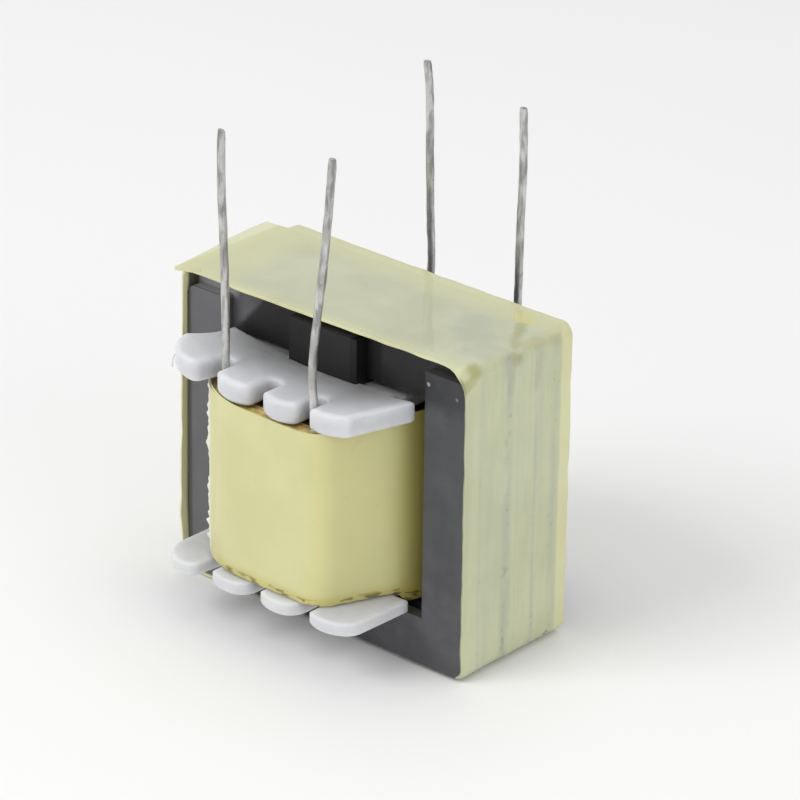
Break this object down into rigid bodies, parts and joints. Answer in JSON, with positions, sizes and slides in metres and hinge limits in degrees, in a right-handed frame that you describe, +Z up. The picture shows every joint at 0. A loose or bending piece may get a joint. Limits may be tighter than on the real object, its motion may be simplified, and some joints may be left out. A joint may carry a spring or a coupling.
{
  "type": "pcb transformer",
  "caption": "Small leaded transformer: laminated core bound with film, lobed bobbin with a taped coil, and tinned wire leads for a circuit board.",
  "frame": {"origin": "middle of the core's footprint, on the underside of the film round the core", "axes": "+X along the front sheet of the core, to the right seen from the front; +Y into the stack of sheets; +Z up, along the leads"},
  "size_m": [0.0152, 0.013, 0.0204],
  "materials": {
    "core_sheet": "dull, lightly rolled",
    "core_film": "glossy, slightly see-through",
    "bobbin_plastic": "satin white",
    "coil_film": "satin, slightly see-through",
    "inner_film": "glossy, slightly see-through",
    "magnet_wire": "enamelled copper wire",
    "lead_wire": "tinned, slightly dented",
    "solder": "dull solder"
  },
  "bodies": {
    "root": {"lamination_01": "core_sheet", "lamination_02": "core_sheet", "lamination_03": "core_sheet", "lamination_04": "core_sheet", "lamination_05": "core_sheet", "lamination_06": "core_sheet", "lamination_07": "core_sheet", "lamination_08": "core_sheet", "lamination_09": "core_sheet", "lamination_10": "core_sheet", "lamination_11": "core_sheet", "core_tape": "core_film", "bobbin": "bobbin_plastic", "primary_winding": "magnet_wire", "interlayer_tape": "inner_film", "secondary_winding": "magnet_wire", "cover_tape": "inner_film", "coil_tape": "coil_film", "primary_lead_start": "lead_wire", "primary_solder_start": "solder", "primary_lead_end": "lead_wire", "primary_solder_end": "solder", "secondary_lead_start": "lead_wire", "secondary_solder_start": "solder", "secondary_lead_end": "lead_wire", "secondary_solder_end": "solder"}
  },
  "joints": []
}
